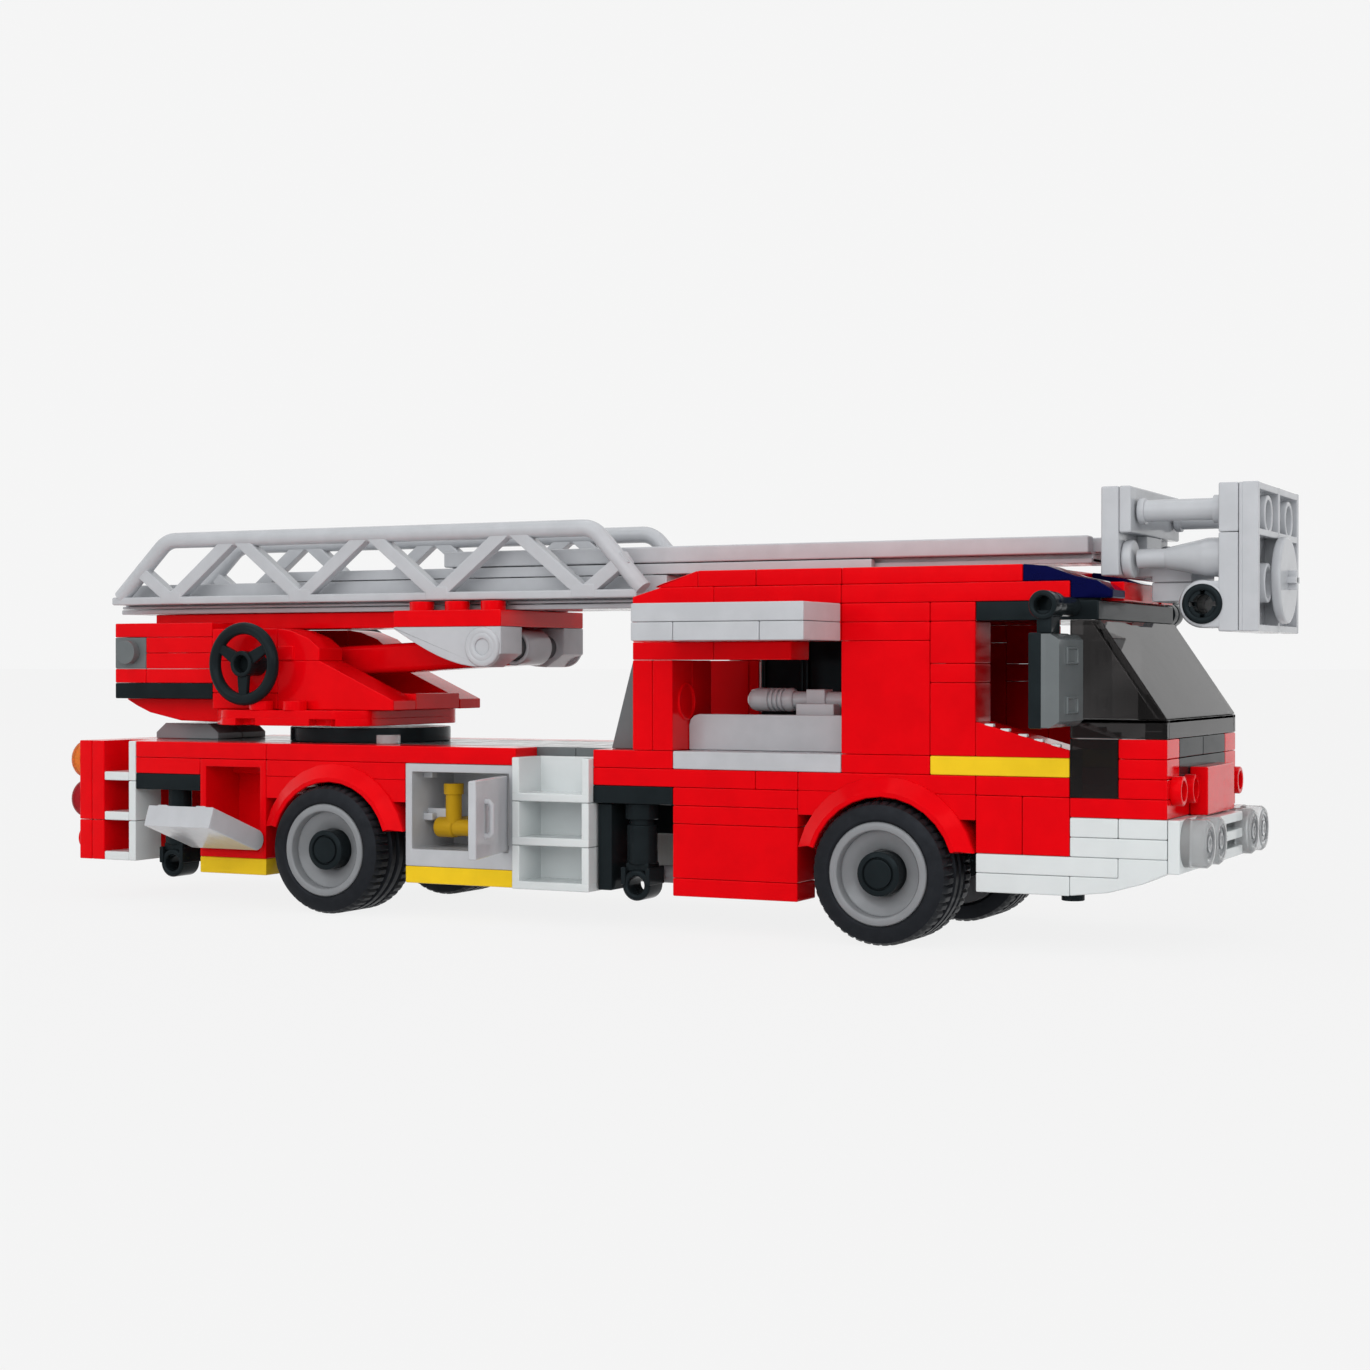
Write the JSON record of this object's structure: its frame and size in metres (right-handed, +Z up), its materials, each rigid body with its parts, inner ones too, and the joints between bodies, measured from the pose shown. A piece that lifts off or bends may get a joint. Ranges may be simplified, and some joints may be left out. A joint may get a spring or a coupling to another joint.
{
  "type": "toy turntable-ladder fire engine",
  "caption": "Brick-built toy fire engine with a slewing turret, lifting arm, telescoping ladder, folding basket, open equipment bay, cupboards, drop flaps and rolling wheels.",
  "frame": {"origin": "middle of the engine's length and width, on the ground under the wheels", "axes": "+X to the front of the cab, +Y to the engine's left, +Z up"},
  "size_m": [0.242, 0.0882, 0.0765],
  "materials": {
    "red_plastic": "glossy moulded plastic",
    "light_grey_plastic": "glossy moulded plastic",
    "dark_grey_plastic": "glossy moulded plastic",
    "black_plastic": "glossy moulded plastic",
    "white_plastic": "glossy moulded plastic",
    "yellow_plastic": "glossy moulded plastic",
    "clear_orange": "clear tinted plastic",
    "clear_blue": "clear dark blue plastic",
    "smoke": "smoke tinted clear plastic",
    "clear": "clear plastic",
    "tyre": "soft black rubber"
  },
  "bodies": {
    "chassis": {"chassis_frame": "black_plastic", "deck": "dark_grey_plastic", "rear_body": "red_plastic", "tail_panel": "red_plastic", "tail_lights": "clear_orange", "rear_rack": "white_plastic", "yellow_plates": "yellow_plastic", "cupboards": "light_grey_plastic", "taps": "yellow_plastic", "steps": "white_plastic", "stabilisers": "black_plastic", "mudguards": "red_plastic", "bay_frame": "red_plastic", "cab_body": "red_plastic", "bay_trim": "light_grey_plastic", "slope_panels": "dark_grey_plastic", "roof": "red_plastic", "beacons": "clear_blue", "cab_trim": "black_plastic", "cab_seat": "dark_grey_plastic", "windows": "smoke", "bumper": "white_plastic", "headlights": "clear", "mirrors": "dark_grey_plastic", "bay_tools": "dark_grey_plastic", "turntable_ring": "black_plastic"},
    "turret": {"turret": "red_plastic", "counterweight": "red_plastic", "hand_wheel": "black_plastic"},
    "lift_arm": {"lift_arm": "red_plastic"},
    "boom": {"boom_plate": "red_plastic", "boom_brackets": "light_grey_plastic", "ladder_lower": "light_grey_plastic", "ladder_trusses": "light_grey_plastic"},
    "ladder_middle": {"ladder_middle": "light_grey_plastic"},
    "ladder_upper": {"ladder_upper": "light_grey_plastic", "ladder_head": "light_grey_plastic", "basket_hinge": "light_grey_plastic"},
    "basket": {"basket": "light_grey_plastic", "basket_rails": "light_grey_plastic"},
    "cupboard_door_left": {"cupboard_door_left": "light_grey_plastic"},
    "cupboard_door_right": {"cupboard_door_right": "light_grey_plastic"},
    "drop_flap_left": {"drop_flap_left": "light_grey_plastic"},
    "drop_flap_right": {"drop_flap_right": "light_grey_plastic"},
    "wheel_front_left": {"tyre_front_left": "tyre", "rim_front_left": "light_grey_plastic"},
    "wheel_front_right": {"tyre_front_right": "tyre", "rim_front_right": "light_grey_plastic"},
    "wheel_rear_left": {"tyre_rear_left": "tyre", "rim_rear_left": "light_grey_plastic"},
    "wheel_rear_right": {"tyre_rear_right": "tyre", "rim_rear_right": "light_grey_plastic"}
  },
  "joints": [
    {"name": "wheel_front_left_spin", "type": "hinge", "parent": "chassis", "child": "wheel_front_left", "pos_m": [0.0574, 0.0206, 0.01215], "axis": [0, 1, 0], "continuous": true},
    {"name": "wheel_front_right_spin", "type": "hinge", "parent": "chassis", "child": "wheel_front_right", "pos_m": [0.0574, -0.0206, 0.01215], "axis": [0, 1, 0], "continuous": true},
    {"name": "wheel_rear_left_spin", "type": "hinge", "parent": "chassis", "child": "wheel_rear_left", "pos_m": [-0.0546, 0.0206, 0.01215], "axis": [0, 1, 0], "continuous": true},
    {"name": "wheel_rear_right_spin", "type": "hinge", "parent": "chassis", "child": "wheel_rear_right", "pos_m": [-0.0546, -0.0206, 0.01215], "axis": [0, 1, 0], "continuous": true},
    {"name": "turret_yaw", "type": "hinge", "parent": "chassis", "child": "turret", "pos_m": [-0.0626, 0, 0.032], "axis": [0, 0, 1], "continuous": true},
    {"name": "arm_lift", "type": "hinge", "parent": "turret", "child": "lift_arm", "pos_m": [-0.0786, 0, 0.04736], "axis": [0, -1, 0], "range_deg": [0, 60]},
    {"name": "ladder_tilt", "type": "hinge", "parent": "lift_arm", "child": "boom", "pos_m": [-0.0266, 0, 0.05056], "axis": [0, -1, 0], "range_deg": [-22.5, 0]},
    {"name": "middle_slide", "type": "slide", "parent": "boom", "child": "ladder_middle", "axis": [1, 0, 0], "range_m": [0, 0.056]},
    {"name": "upper_slide", "type": "slide", "parent": "ladder_middle", "child": "ladder_upper", "axis": [1, 0, 0], "range_m": [0, 0.056]},
    {"name": "basket_tilt", "type": "hinge", "parent": "ladder_upper", "child": "basket", "pos_m": [0.109, 0, 0.05696], "axis": [0, 1, 0], "range_deg": [0, 90]},
    {"name": "cupboard_left_swing", "type": "hinge", "parent": "chassis", "child": "cupboard_door_left", "pos_m": [-0.0162, 0.024, 0.02], "axis": [0, 0, 1], "range_deg": [0, 105]},
    {"name": "cupboard_right_swing", "type": "hinge", "parent": "chassis", "child": "cupboard_door_right", "pos_m": [-0.0162, -0.024, 0.02], "axis": [0, 0, -1], "range_deg": [0, 105]},
    {"name": "flap_left_drop", "type": "hinge", "parent": "chassis", "child": "drop_flap_left", "pos_m": [-0.0786, 0.0263, 0.01344], "axis": [1, 0, 0], "range_deg": [-20, 70]},
    {"name": "flap_right_drop", "type": "hinge", "parent": "chassis", "child": "drop_flap_right", "pos_m": [-0.0786, -0.0263, 0.01344], "axis": [-1, 0, 0], "range_deg": [-20, 70]}
  ],
  "couplings": [
    {"joint": "ladder_tilt", "follows": "arm_lift", "ratio": -0.3667}
  ]
}
